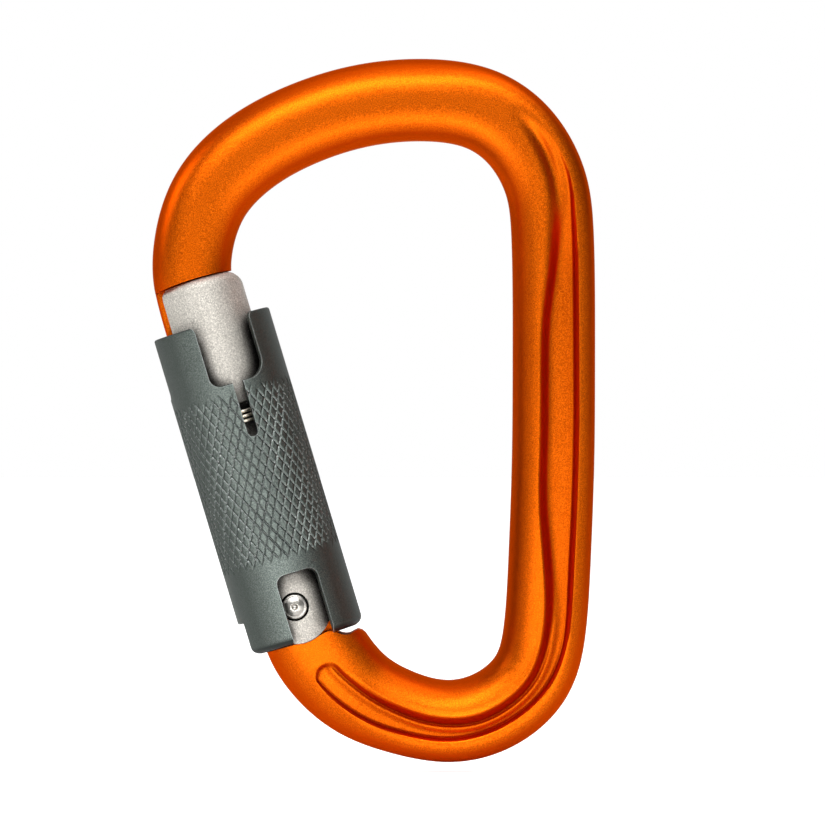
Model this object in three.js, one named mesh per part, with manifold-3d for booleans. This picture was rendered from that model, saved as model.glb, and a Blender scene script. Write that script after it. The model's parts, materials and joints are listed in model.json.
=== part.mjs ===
// Pear-shaped locking carabiner: forged bar body, hinged gate and a spring-loaded locking sleeve.
// Millimetres, +Z up. X runs from the gate side to the spine, Y is the thickness, and the origin is the
// middle of the bounding box. Gate parts are drawn in a "gate frame": origin on the hinge rivet, Z up the
// gate's own axis, X towards the inside of the carabiner, -Y towards the front face.
import * as THREE from 'three';
import { mergeVertices } from 'three/addons/utils/BufferGeometryUtils.js';
import Module from 'manifold-3d';

const wasm = await Module();
wasm.setup();

// ---------- Driving dimensions ----------
const HINGE = { x: -11.7, z: -29.25 };          // rivet centre
const TILT = THREE.MathUtils.degToRad(16.75);   // gate axis leans out at the top
const SWING = THREE.MathUtils.degToRad(35);     // how far the gate opens
const GAP = 0.35;                               // running clearance between neighbours

const BAR_HALF_WIDTH = 6.17;                    // bar, in the plane of the carabiner
const BAR_HALF_THICKNESS = 5.6;                 // bar, across the plane
const BAR_ROUND = { width: 4.7, thickness: 4.7 };
const NOSE_HALF_WIDTH = 5.9;                     // the bar narrows to its nose
const LEDGE_HALF_WIDTH = 7.3;                   // the bar widens to carry the sleeve
const LEDGE_HEIGHT = -6.0;                      // ledge under the sleeve, gate frame
const WEB_HALF_THICKNESS = 3.0;                 // floor of the I-beam channel

const GATE_RADIUS = 6.35;
const GATE_NECK_RADIUS = 5.0;
const GATE_TOP = 51.05;
const GATE_TAIL = -5.4;
const GATE_NECK = { from: 9.4, to: 31.5 };      // waist that the sleeve spring sits on
const GATE_TOP_ROUND = 1.5;
const FORK_HALF_GAP = 2.75;
const FORK_CROTCH = 7.0;

const NOSE = { outer: -6.85, inner: -1.2, tip: 41.0, halfThickness: 1.5 };
const NOSE_FLOOR = 40.0;                        // bottom of the gate's nose slot

const TANG_HALF_THICKNESS = FORK_HALF_GAP - GAP;
const TANG_RADIUS = 4.6;
const CAM_LIFT = 1.6;                           // plunger travel over the full swing

const SLEEVE = { outer: 9.05, inner: 7.75, bottom: -5.3, top: 44.1, edge: 1.3 };
const LIP = { inner: GATE_RADIUS + GAP, from: 8.0, to: 9.3 };
const TOP_WINDOW = { angle: 11.5, width: 8.9, floor: 34.6, corner: 2.6 };
const SLIT = { angle: 10.5, width: 1.6, floor: 26.1 };
const BOTTOM_WINDOW = { angle: 11, width: 6.2, ceiling: 4.9, corner: 1.5 };
const SIDE_NOTCH = { angle: -90, width: 7.9, ceiling: -0.3, corner: 1.5 };
const NOSE_GATEWAY = { angle: -90, width: 3.8, floor: 35.0 };

const COLLAR = { inner: GATE_NECK_RADIUS + GAP, outer: SLEEVE.inner - GAP, from: 9.7, to: 12.0 };
const KEY = { halfWidth: 0.85, depth: 0.75, travel: 5.5 };
const SNAP_RING = { inner: 5.9, outer: 7.2, from: 7.15, to: 7.65, mouth: 5.0 };

const RIVET = { radius: 1.55, headRadius: 2.15, headFrom: 5.55, headTo: 6.5, dimple: 0.5 };
const PLUNGER = { radius: 1.6, top: 13.0 };
const PLUNGER_BORE = { radius: 1.95, top: 20.0 };
const GATE_SPRING = { radius: 1.3, wire: 0.25, from: 13.4, to: 19.6, turns: 7 };
const SLEEVE_SPRING = { radius: 5.95, wire: 0.32, from: 12.7, to: 30.8, turns: 8 };

// ---------- Colours ----------
const FINISH = {
  polymer: { color: 0x3a3d40, metalness: 0.0, roughness: 0.6 },
  orange: { color: 0xe8690a, metalness: 0.85, roughness: 0.42 },
  silver: { color: 0xc9c9c4, metalness: 0.9, roughness: 0.38 },
  grey: { color: 0x5f696a, metalness: 0.85, roughness: 0.4 },
  rivet: { color: 0xd6d4ce, metalness: 1.0, roughness: 0.22 },
  spring: { color: 0xa8a294, metalness: 1.0, roughness: 0.3 },
};

// ---------- Solid helpers ----------
function solid(geometry) {
  const bare = geometry.index ? geometry.toNonIndexed() : geometry.clone();
  bare.deleteAttribute('normal');
  bare.deleteAttribute('uv');
  const merged = mergeVertices(bare, 1e-4);
  return new wasm.Manifold(new wasm.Mesh({
    numProp: 3,
    vertProperties: new Float32Array(merged.attributes.position.array),
    triVerts: new Uint32Array(merged.index.array),
  }));
}

function toGeometry(manifold) {
  const mesh = manifold.getMesh();
  const geometry = new THREE.BufferGeometry();
  geometry.setAttribute('position', new THREE.BufferAttribute(mesh.vertProperties, 3));
  geometry.setIndex(new THREE.BufferAttribute(mesh.triVerts, 1));
  geometry.computeVertexNormals();
  return geometry;
}

function namedMesh(name, geometry, finish) {
  const mesh = new THREE.Mesh(geometry, new THREE.MeshStandardMaterial(finish));
  mesh.name = name;
  return mesh;
}

// A plate whose outline is drawn in X and Z, filling y0 to y1.
function plate(shape, y0, y1, options = {}) {
  const geometry = new THREE.ExtrudeGeometry(shape, { depth: y1 - y0, bevelEnabled: false, ...options });
  return geometry.translate(0, 0, -y1).rotateX(Math.PI / 2);
}

function block(x0, x1, y0, y1, z0, z1) {
  const geometry = new THREE.BoxGeometry(x1 - x0, y1 - y0, z1 - z0);
  return geometry.translate((x0 + x1) / 2, (y0 + y1) / 2, (z0 + z1) / 2);
}

// A body of revolution about Z from a list of [radius, height].
function turned(profile, segments = 48) {
  const points = profile.map(([radius, height]) => new THREE.Vector2(radius, height));
  return new THREE.LatheGeometry(points, segments).rotateX(Math.PI / 2);
}

// Points of a quarter turn in a turned profile, centre (r, z), from one angle to another in degrees.
function quarter(r, z, radius, fromDegrees, toDegrees, steps = 4) {
  return Array.from({ length: steps + 1 }, (_, i) => {
    const angle = THREE.MathUtils.degToRad(fromDegrees + (toDegrees - fromDegrees) * i / steps);
    return [r + radius * Math.cos(angle), z + radius * Math.sin(angle)];
  });
}

function rodAlongY(radius, y0, y1, segments = 32) {
  return new THREE.CylinderGeometry(radius, radius, y1 - y0, segments).translate(0, (y0 + y1) / 2, 0);
}

function rodAlongZ(radius, z0, z1, segments = 32) {
  return new THREE.CylinderGeometry(radius, radius, z1 - z0, segments)
    .rotateX(Math.PI / 2).translate(0, 0, (z0 + z1) / 2);
}

class Helix extends THREE.Curve {
  constructor({ radius, from, to, turns }) {
    super();
    Object.assign(this, { radius, from, to, turns });
  }

  getPoint(t, target = new THREE.Vector3()) {
    const angle = 2 * Math.PI * this.turns * t;
    const height = this.from + (this.to - this.from) * t;
    return target.set(this.radius * Math.sin(angle), -this.radius * Math.cos(angle), height);
  }
}

function coilSpring(spring, stepsPerTurn, sides) {
  const wire = new THREE.Shape();
  for (let i = 0; i < sides; i += 1) {
    const angle = 2 * Math.PI * i / sides;
    const x = spring.wire * Math.cos(angle);
    const y = spring.wire * Math.sin(angle);
    if (i === 0) wire.moveTo(x, y);
    else wire.lineTo(x, y);
  }
  return new THREE.ExtrudeGeometry(wire, {
    steps: stepsPerTurn * spring.turns,
    bevelEnabled: false,
    extrudePath: new Helix(spring),
  });
}

// ---------- Gate frame ----------
const gateFrame = new THREE.Group();
gateFrame.position.set(HINGE.x, 0, HINGE.z);
gateFrame.rotation.y = -TILT;
gateFrame.updateMatrixWorld();

function inBodyFrame(geometry) {
  return geometry.applyMatrix4(gateFrame.matrixWorld);
}

function gatePoint(across, up) {
  const point = new THREE.Vector3(across, 0, up).applyMatrix4(gateFrame.matrixWorld);
  return new THREE.Vector2(point.x, point.z);
}

// ---------- Body ----------
// Middle line of the bar from the nose, over the top, down the spine and round the basket to the ledge.
const NOSE_LINE = -0.7;
const LEDGE_LINE = 1.3;
const centreLine = new THREE.SplineCurve([
  gatePoint(NOSE_LINE, 46),
  gatePoint(NOSE_LINE, 51),
  new THREE.Vector2(-26.9, 25.3),
  new THREE.Vector2(-24.3, 32.55),
  new THREE.Vector2(-18.3, 38.75),
  new THREE.Vector2(-10.6, 42.95),
  new THREE.Vector2(-2.1, 45.62),
  new THREE.Vector2(7.1, 46.55),
  new THREE.Vector2(15.9, 45.2),
  new THREE.Vector2(22.0, 40.9),
  new THREE.Vector2(25.6, 34.6),
  new THREE.Vector2(26.8, 27.0),
  new THREE.Vector2(27.03, 8),
  new THREE.Vector2(26.9, -8),
  new THREE.Vector2(26.4, -22),
  new THREE.Vector2(25.7, -32.5),
  new THREE.Vector2(23.7, -39.75),
  new THREE.Vector2(18.4, -44.7),
  new THREE.Vector2(11.2, -46.55),
  new THREE.Vector2(3.25, -44.9),
  new THREE.Vector2(-3.4, -41.3),
  gatePoint(LEDGE_LINE, LEDGE_HEIGHT),
  gatePoint(LEDGE_LINE, LEDGE_HEIGHT + 5),
]);
// Fractions of the middle line, from the nose, between which the bar's width changes.
const NOSE_END = 0.03;
const TOP_START = 0.14;
const BASKET_START = 0.86;
const LEDGE_AT = 0.975;

function barHalfWidth(t) {
  const { lerp, smoothstep } = THREE.MathUtils;
  const top = lerp(NOSE_HALF_WIDTH, BAR_HALF_WIDTH, smoothstep(t, NOSE_END, TOP_START));
  return lerp(top, LEDGE_HALF_WIDTH, smoothstep(t, BASKET_START, LEDGE_AT));
}

// One face-on quarter of the bar's section is a straight flank, an elliptical round and a flat.
function barSection(stepsPerCorner = 4) {
  const flank = BAR_HALF_THICKNESS - BAR_ROUND.thickness;
  const flat = BAR_HALF_WIDTH - BAR_ROUND.width;
  const points = [];
  for (const [signX, signY, start] of [[1, 1, 0], [-1, 1, 90], [-1, -1, 180], [1, -1, 270]]) {
    for (let i = 0; i <= stepsPerCorner; i += 1) {
      const angle = THREE.MathUtils.degToRad(start + 90 * i / stepsPerCorner);
      points.push(new THREE.Vector2(
        signX * flat + BAR_ROUND.width * Math.cos(angle),
        signY * flank + BAR_ROUND.thickness * Math.sin(angle),
      ));
    }
  }
  return new THREE.Shape(points);
}

// The section is extruded straight, then bent along the middle line and widened towards the ledge.
function bentBar(steps = 96) {
  const bar = new THREE.ExtrudeGeometry(barSection(), { depth: 1, steps, bevelEnabled: false });
  const position = bar.attributes.position;
  for (let i = 0; i < position.count; i += 1) {
    const t = THREE.MathUtils.clamp(position.getZ(i), 0, 1);
    const middle = centreLine.getPointAt(t);
    const along = centreLine.getTangentAt(t);
    const across = position.getX(i) * barHalfWidth(t) / BAR_HALF_WIDTH;
    position.setXYZ(i, middle.x + along.y * across, position.getY(i), middle.y - along.x * across);
  }
  return bar;
}

// The channel on each face of the spine and basket, between its inner and its outer wall.
function channelOutline() {
  const innerWall = [
    [26.4, 34.9], [27.2, 29.5], [26.6, 20], [25.8, 5], [25.6, -14], [26.3, -24], [26.3, -32.5],
    [24.6, -38.3], [20.6, -43.3], [14.5, -46.2], [8.5, -46.2], [2.5, -44.2], [-3.0, -40.5], [-6.3, -37.7],
  ];
  const outerWall = [
    [-8.7, -39.9], [-5.0, -43.9], [0.6, -47.2], [6.5, -49.0], [11.6, -49.6], [17.6, -48.1], [22.8, -45.0],
    [26.8, -40.2], [28.9, -34.0], [29.5, -26], [30.0, -16], [30.4, 0], [30.3, 18], [29.9, 30], [28.4, 36.2],
  ];
  const shape = new THREE.Shape();
  shape.moveTo(...innerWall[0]);
  shape.splineThru(innerWall.slice(1).map(([x, z]) => new THREE.Vector2(x, z)));
  shape.lineTo(...outerWall[0]);
  shape.splineThru(outerWall.slice(1).map(([x, z]) => new THREE.Vector2(x, z)));
  return shape;
}

// The tang is a disc about the rivet with a cam on its inner side that pushes the plunger up.
function tangOutline() {
  const rest = Math.PI / 2;
  const points = [new THREE.Vector2(-4.8, -8), new THREE.Vector2(-4.8, -3)];
  for (let i = 0; i <= 8; i += 1) {
    const angle = Math.PI - (Math.PI - rest) * i / 8;
    points.push(new THREE.Vector2(TANG_RADIUS * Math.cos(angle), TANG_RADIUS * Math.sin(angle)));
  }
  for (let i = 1; i <= 10; i += 1) {
    const turn = SWING * 1.2 * i / 10;
    const radius = TANG_RADIUS + CAM_LIFT * Math.min(1, turn / SWING);
    points.push(new THREE.Vector2(radius * Math.sin(turn), radius * Math.cos(turn)));
  }
  points.push(new THREE.Vector2(4.9, 1.5), new THREE.Vector2(5.0, -3), new THREE.Vector2(5.2, -8));
  return new THREE.Shape(points);
}

function noseBlade() {
  const round = 1.2;
  const { outer, inner, tip } = NOSE;
  const root = 52.5;
  const shape = new THREE.Shape();
  shape.moveTo(outer + round / 2, root);
  shape.lineTo(outer, root - 2 * round);
  shape.lineTo(outer, tip + round);
  shape.absarc(outer + round, tip + round, round, Math.PI, 1.5 * Math.PI, false);
  shape.lineTo(inner - round, tip);
  shape.absarc(inner - round, tip + round, round, -Math.PI / 2, 0, false);
  shape.lineTo(inner, root);
  return plate(shape, -NOSE.halfThickness, NOSE.halfThickness, { curveSegments: 6 });
}

function makeBody() {
  const reach = 12;
  const gateRoom = solid(rodAlongY(GATE_TOP + GAP, -reach, reach, 256))
    .intersect(solid(block(-reach, reach, -reach - 1, reach + 1, 30, 60)));
  const sleeveRoom = block(-reach, reach, -reach, reach, LEDGE_HEIGHT, 20);
  const channelDepth = BAR_HALF_THICKNESS + 2;
  let body = solid(bentBar())
    .subtract(solid(inBodyFrame(toGeometry(gateRoom))))
    .subtract(solid(inBodyFrame(sleeveRoom)));
  for (const side of [-1, 1]) {
    const faces = [side * WEB_HALF_THICKNESS, side * channelDepth].sort((a, b) => a - b);
    body = body.subtract(solid(plate(channelOutline(), faces[0], faces[1], { curveSegments: 3 })));
  }
  const tang = solid(plate(tangOutline(), -TANG_HALF_THICKNESS, TANG_HALF_THICKNESS))
    .subtract(solid(rodAlongY(RIVET.radius + GAP, -reach, reach)));
  body = body
    .add(solid(inBodyFrame(toGeometry(tang))))
    .add(solid(inBodyFrame(noseBlade())));
  return toGeometry(body);
}

// ---------- Gate ----------
// Outline of the gate seen from the front: the tail is round so that it turns clear of the ledge.
function gateTailOutline() {
  const radius = GATE_RADIUS + 0.02;
  const shape = new THREE.Shape();
  shape.moveTo(-radius, GATE_TOP + 2);
  shape.lineTo(-radius, GATE_TAIL + radius);
  shape.absarc(0, GATE_TAIL + radius, radius, Math.PI, 2 * Math.PI, false);
  shape.lineTo(radius, GATE_TOP + 2);
  return shape;
}

function makeGate() {
  const R = GATE_RADIUS;
  const groove = { radius: SNAP_RING.inner - 0.3, from: SNAP_RING.from - 0.3, to: SNAP_RING.to + 0.3 };
  const blank = turned([
    [0, GATE_TAIL - 1], [R, GATE_TAIL - 1],
    [R, groove.from], [groove.radius, groove.from], [groove.radius, groove.to], [R, groove.to],
    [R, GATE_NECK.from], [GATE_NECK_RADIUS, GATE_NECK.from],
    [GATE_NECK_RADIUS, GATE_NECK.to], [R, GATE_NECK.to],
    ...quarter(R - GATE_TOP_ROUND, GATE_TOP - 0.3 - GATE_TOP_ROUND, GATE_TOP_ROUND, 0, 90),
    [0, GATE_TOP],
  ]);
  const far = 9;
  const plungerBore = rodAlongZ(PLUNGER_BORE.radius, FORK_CROTCH - 1, PLUNGER_BORE.top, 24);
  const fork = block(-far, far, -FORK_HALF_GAP, FORK_HALF_GAP, -far, FORK_CROTCH);
  const rivetHole = rodAlongY(RIVET.radius + GAP, -far, far);
  const slotHalf = NOSE.halfThickness + GAP;
  const noseSlot = block(-far, NOSE.inner + 2 * GAP, -slotHalf, slotHalf, NOSE_FLOOR, GATE_TOP + 2);
  const keyway = block(
    -KEY.halfWidth - GAP, KEY.halfWidth + GAP,
    GATE_NECK_RADIUS - KEY.depth - GAP, far,
    GATE_NECK.from, COLLAR.to + KEY.travel,
  );
  let gate = solid(blank)
    .intersect(solid(plate(gateTailOutline(), -far, far, { curveSegments: 12 })))
    .subtract(solid(plungerBore))
    .subtract(solid(fork))
    .subtract(solid(rivetHole))
    .subtract(solid(noseSlot))
    .subtract(solid(keyway));
  for (const side of [-1, 1]) {
    const ends = [side * (RIVET.headFrom - GAP), side * far].sort((a, b) => a - b);
    gate = gate.subtract(solid(rodAlongY(RIVET.headRadius + GAP, ends[0], ends[1])));
  }
  return toGeometry(gate);
}

// ---------- Sleeve ----------
// A window seen square-on, open at one end, with rounded corners at the other, cut through the tube wall.
function windowCutter({ angle, width, corner = 0.3 }, closedEnd, openEnd) {
  const half = width / 2;
  const towards = Math.sign(openEnd - closedEnd);
  const shape = new THREE.Shape();
  shape.moveTo(-half, openEnd);
  shape.lineTo(-half, closedEnd + towards * corner);
  shape.quadraticCurveTo(-half, closedEnd, -half + corner, closedEnd);
  shape.lineTo(half - corner, closedEnd);
  shape.quadraticCurveTo(half, closedEnd, half, closedEnd + towards * corner);
  shape.lineTo(half, openEnd);
  return plate(shape, -SLEEVE.outer - 2, -4, { curveSegments: 5 }).rotateZ(THREE.MathUtils.degToRad(angle));
}

function makeSleeve() {
  const { outer, inner, bottom, top, edge } = SLEEVE;
  const tube = turned([
    [inner, bottom], [outer - edge, bottom],
    ...quarter(outer - edge, bottom + edge, edge, -90, 0).slice(1),
    [outer, top - 0.3], [outer - 0.3, top], [inner, top],
    [inner, LIP.to], [LIP.inner, LIP.to], [LIP.inner, LIP.from], [inner, LIP.from],
    [inner, bottom],
  ], 64);
  const above = top + 3;
  const below = bottom - 3;
  const cutters = [
    windowCutter(TOP_WINDOW, TOP_WINDOW.floor, above),
    windowCutter({ ...SLIT, corner: SLIT.width / 2 - 0.05 }, SLIT.floor, TOP_WINDOW.floor + 1),
    windowCutter(NOSE_GATEWAY, NOSE_GATEWAY.floor, above),
    windowCutter(BOTTOM_WINDOW, BOTTOM_WINDOW.ceiling, below),
    windowCutter(SIDE_NOTCH, SIDE_NOTCH.ceiling, below),
  ];
  let sleeve = solid(tube);
  for (const cutter of cutters) sleeve = sleeve.subtract(solid(cutter));
  return toGeometry(sleeve);
}

// ---------- Small parts ----------
function ring({ inner, outer, from, to }, segments = 48) {
  return turned([[inner, from], [outer, from], [outer, to], [inner, to], [inner, from]], segments);
}

function makeCollar() {
  const tongue = block(
    -KEY.halfWidth, KEY.halfWidth,
    GATE_NECK_RADIUS - KEY.depth, (COLLAR.inner + COLLAR.outer) / 2,
    COLLAR.from, COLLAR.to,
  );
  return toGeometry(solid(ring(COLLAR)).add(solid(tongue)));
}

function makeSnapRing() {
  const mouth = block(2, SNAP_RING.outer + 1, -SNAP_RING.mouth / 2, SNAP_RING.mouth / 2, 0, FORK_CROTCH * 2);
  return toGeometry(solid(ring(SNAP_RING)).subtract(solid(mouth)));
}

function makeRivet() {
  const { radius, headRadius, headFrom, headTo, dimple } = RIVET;
  const half = [[radius, headFrom], [headRadius, headFrom], [headRadius, headTo - 0.4],
    [headRadius - 0.4, headTo], [dimple, headTo], [0, headTo - 0.4]];
  const profile = [...half.map(([r, y]) => [r, -y]).reverse(), ...half];
  const points = profile.map(([r, y]) => new THREE.Vector2(r, y));
  return new THREE.LatheGeometry(points, 32);
}

function makePlunger() {
  const { radius, top } = PLUNGER;
  const tip = TANG_RADIUS + GAP;
  const dome = quarter(0, tip + radius, radius, -90, 0, 6).map(([r, z]) => [Math.max(r, 0), z]);
  dome[0] = [0, tip];
  return turned([...dome, [radius, top], [0, top]], 24);
}

// ---------- Assembly ----------
const carabiner = new THREE.Group();
carabiner.name = 'locking_carabiner';
carabiner.add(namedMesh('body', makeBody(), FINISH.orange));
gateFrame.add(
  namedMesh('gate', makeGate(), FINISH.silver),
  namedMesh('locking_sleeve', makeSleeve(), FINISH.grey),
  namedMesh('guide_collar', makeCollar(), FINISH.polymer),
  namedMesh('retaining_ring', makeSnapRing(), FINISH.spring),
  namedMesh('sleeve_spring', coilSpring(SLEEVE_SPRING, 16, 6), FINISH.spring),
  namedMesh('hinge_rivet', makeRivet(), FINISH.rivet),
  namedMesh('plunger', makePlunger(), FINISH.spring),
  namedMesh('gate_spring', coilSpring(GATE_SPRING, 12, 6), FINISH.spring),
);
carabiner.add(gateFrame);

export default carabiner;
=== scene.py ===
"""Looks of the locking carabiner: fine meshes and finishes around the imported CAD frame.

Lengths are written in millimetres and turned into metres by the mesh helpers. "Row frame" points are
(x, y, z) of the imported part. "Gate frame" points are (n, y, s): origin on the hinge rivet, s up the gate's
axis, n towards the inside of the carabiner, y towards the back.
"""
import json
import math

import bmesh
import bpy
import numpy as np
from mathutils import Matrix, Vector


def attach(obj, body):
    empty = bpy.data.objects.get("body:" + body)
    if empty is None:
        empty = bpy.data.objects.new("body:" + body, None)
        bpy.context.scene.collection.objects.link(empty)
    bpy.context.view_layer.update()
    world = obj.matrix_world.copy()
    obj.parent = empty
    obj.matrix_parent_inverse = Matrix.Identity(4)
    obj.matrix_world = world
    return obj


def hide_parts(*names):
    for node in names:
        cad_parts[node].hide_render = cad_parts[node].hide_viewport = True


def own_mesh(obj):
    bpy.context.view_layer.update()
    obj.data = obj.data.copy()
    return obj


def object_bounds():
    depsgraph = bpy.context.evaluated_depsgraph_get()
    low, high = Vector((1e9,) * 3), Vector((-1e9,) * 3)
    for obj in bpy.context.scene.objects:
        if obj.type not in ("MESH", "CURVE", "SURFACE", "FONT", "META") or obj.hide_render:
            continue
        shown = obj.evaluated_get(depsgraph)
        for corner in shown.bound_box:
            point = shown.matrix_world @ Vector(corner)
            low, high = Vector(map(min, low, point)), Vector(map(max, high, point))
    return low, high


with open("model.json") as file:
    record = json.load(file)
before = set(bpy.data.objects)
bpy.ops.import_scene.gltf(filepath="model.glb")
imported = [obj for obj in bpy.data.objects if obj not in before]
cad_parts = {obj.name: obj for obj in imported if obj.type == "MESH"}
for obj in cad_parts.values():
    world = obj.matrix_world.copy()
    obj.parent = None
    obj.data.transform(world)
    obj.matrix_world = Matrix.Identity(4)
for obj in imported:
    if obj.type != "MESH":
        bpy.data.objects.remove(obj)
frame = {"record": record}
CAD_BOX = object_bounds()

MM = 0.001
JOINTS = {joint["name"]: joint for joint in frame["record"]["behaviour"]["joints"]}
PIVOT = np.array(JOINTS["gate_swing"]["pos_m"], float)
UP = np.array(JOINTS["sleeve_lift"]["axis"], float)
UP /= np.linalg.norm(UP)
DEPTH = np.array([0.0, 1.0, 0.0])
ACROSS = np.cross(DEPTH, UP)

# ---------- Driving sizes, in mm, the same as the CAD part's ----------
BAR_HALF_WIDTH = 6.17
BAR_HALF_THICKNESS = 5.6
NOSE_HALF_WIDTH = 5.9
LEDGE_HALF_WIDTH = 7.3
WEB_HALF_THICKNESS = 3.0
TANG_HALF_THICKNESS = 2.4
TANG_RADIUS = 4.6
CAM_LIFT = 1.6
SWING = math.radians(35)
BLADE_HALF_THICKNESS = 1.5
BLADE_INNER = -1.2
BLADE_TIP = 41.0
GATE_RADIUS = 6.35
GATE_TOP = 51.05
FORK_CROTCH = 7.0
NOSE_SLOT_FLOOR = 40.0
NECK_RADIUS = 5.0
NECK = (9.4, 31.5)
SLEEVE_OUTER = 9.05
SLEEVE_INNER = 7.75
SLEEVE_BOTTOM = -5.3
SLEEVE_TOP = 44.1
SLEEVE_LIP_RADIUS = 6.7
SLEEVE_LIP = (8.0, 9.3)

# ---------- Driving sizes, in mm, that differ from the CAD part's or are not in it ----------
LEDGE_HEIGHT = -5.45
TAIL_RADIUS = 5.55
END_GAP = 0.12
BLADE_OUTER = -6.82
FORK_HALF_GAP = 2.6
NOSE_SLOT_HALF_WIDTH = 1.75
RIVET_HOLE_RADIUS = 1.75
COUNTERBORE_RADIUS = 2.14
COUNTERBORE_FLOOR = 5.35
PLUNGER_BORE_RADIUS = 1.9
COLLAR = (9.7, 12.1)
KNURL = (7.3, 33.3)
THROUGH = 9  # half the depth of the shapes that cut or trim the bar and the gate from front to back


# ---------- Mesh helpers ----------
def gate_to_row(points):
    """Gate frame in mm to row frame in metres."""
    p = np.asarray(points, float) * MM
    return PIVOT + p[:, 0:1] * ACROSS + p[:, 1:2] * DEPTH + p[:, 2:3] * UP


def gate_point(n, s):
    """Gate frame to a row frame (x, z) pair, both in mm."""
    row = gate_to_row([(n, 0.0, s)])[0] / MM
    return np.array([row[0], row[2]])


def new_object(name, vertices, faces):
    mesh = bpy.data.meshes.new(name)
    mesh.from_pydata(np.asarray(vertices, float).tolist(), [], faces)
    mesh.validate()
    mesh.update()
    mesh.shade_smooth()
    obj = bpy.data.objects.new(name, mesh)
    bpy.context.scene.collection.objects.link(obj)
    return obj


def apply_modifiers(obj):
    graph = bpy.context.evaluated_depsgraph_get()
    mesh = bpy.data.meshes.new_from_object(obj.evaluated_get(graph))
    old = obj.data
    obj.modifiers.clear()
    obj.data = mesh
    bpy.data.meshes.remove(old)


def combine(obj, other, operation):
    """Joins or cuts obj with other, and removes other."""
    modifier = obj.modifiers.new(operation.lower(), "BOOLEAN")
    modifier.operation = operation
    modifier.solver = "MANIFOLD"
    modifier.object = other
    apply_modifiers(obj)
    bpy.data.objects.remove(other)


def soften_edges(obj, width, angle=30.0, segments=3):
    """Rounds every sharp edge by width, in mm, and leaves flat faces flat in shading."""
    bevel = obj.modifiers.new("bevel", "BEVEL")
    bevel.width = width * MM
    bevel.segments = segments
    bevel.limit_method = "ANGLE"
    bevel.angle_limit = math.radians(angle)
    bevel.use_clamp_overlap = True
    bevel.miter_outer = "MITER_ARC"
    bevel.harden_normals = False
    apply_modifiers(obj)
    sharpen(obj)


def sharpen(obj, angle=32.0):
    """Smooth shading that breaks at edges sharper than angle."""
    obj.data.shade_smooth()
    obj.data.set_sharp_from_angle(angle=math.radians(angle))


def arc(centre, radius, start, end, steps):
    """Points of an arc, angles in degrees."""
    turn = np.radians(np.linspace(start, end, steps + 1))
    return np.column_stack([centre[0] + radius * np.cos(turn), centre[1] + radius * np.sin(turn)])


def fillet(corners, steps=5):
    """A closed outline from (a, b, radius) corners, each rounded by its radius."""
    points = []
    count = len(corners)
    for i, (a, b, radius) in enumerate(corners):
        corner = np.array([a, b], float)
        if radius <= 0:
            points.append(corner)
            continue
        before = np.array(corners[i - 1][:2], float) - corner
        after = np.array(corners[(i + 1) % count][:2], float) - corner
        before /= np.linalg.norm(before)
        after /= np.linalg.norm(after)
        half = math.acos(np.clip(before @ after, -1, 1)) / 2
        reach = radius / math.tan(half)
        middle = corner + (before + after) / np.linalg.norm(before + after) * radius / math.sin(half)
        first = corner + before * reach - middle
        last = corner + after * reach - middle
        sweep = math.atan2(first[0] * last[1] - first[1] * last[0], first @ last)
        for k in range(steps + 1):
            turn = sweep * k / steps
            cos, sin = math.cos(turn), math.sin(turn)
            spoke = np.array([first[0] * cos - first[1] * sin, first[0] * sin + first[1] * cos])
            points.append(middle + spoke)
    return np.array(points)


def turned(name, profile, segments=128, axis="s"):
    """A body of revolution in the gate frame. The profile is a closed (radius, height) outline, or an open
    one that starts and ends on the axis."""
    turn = np.linspace(0, 2 * math.pi, segments, endpoint=False)
    vertices, rows = [], []
    for radius, height in profile:
        if radius < 1e-6:
            rows.append([len(vertices)] * segments)
            vertices.append((0.0, 0.0, height))
            continue
        rows.append(list(range(len(vertices), len(vertices) + segments)))
        vertices += [(radius * math.sin(a), -radius * math.cos(a), height) for a in turn]
    closed = profile[0][0] > 1e-6
    faces = []
    for i in range(len(rows) if closed else len(rows) - 1):
        low, high = rows[i], rows[(i + 1) % len(rows)]
        for j in range(segments):
            k = (j + 1) % segments
            corners = [low[j], low[k], high[k], high[j]]
            faces.append(tuple(dict.fromkeys(corners)))
    vertices = np.array(vertices)
    if axis == "y":
        vertices = np.column_stack([vertices[:, 0], vertices[:, 2], -vertices[:, 1]])
    obj = new_object(name, gate_to_row(vertices), faces)
    return face_outwards(obj)


def face_outwards(obj):
    shell = bmesh.new()
    shell.from_mesh(obj.data)
    bmesh.ops.recalc_face_normals(shell, faces=shell.faces)
    shell.to_mesh(obj.data)
    shell.free()
    return obj


def side_prism(name, outline, y0, y1):
    """A prism in the gate frame whose (n, s) outline is seen from the front."""
    count = len(outline)
    vertices = [(n, y0, up) for n, up in outline] + [(n, y1, up) for n, up in outline]
    faces = [tuple(range(count)), tuple(range(2 * count - 1, count - 1, -1))]
    faces += [(i, i + count, (i + 1) % count + count, (i + 1) % count) for i in range(count)]
    return face_outwards(new_object(name, gate_to_row(np.array(vertices)), faces))


def rectangle(u0, u1, v0, v1):
    return [(u0, v0), (u1, v0), (u1, v1), (u0, v1)]


def circle(radius, count=64):
    return arc((0.0, 0.0), radius, 0, 360, count)[:-1]


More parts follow.
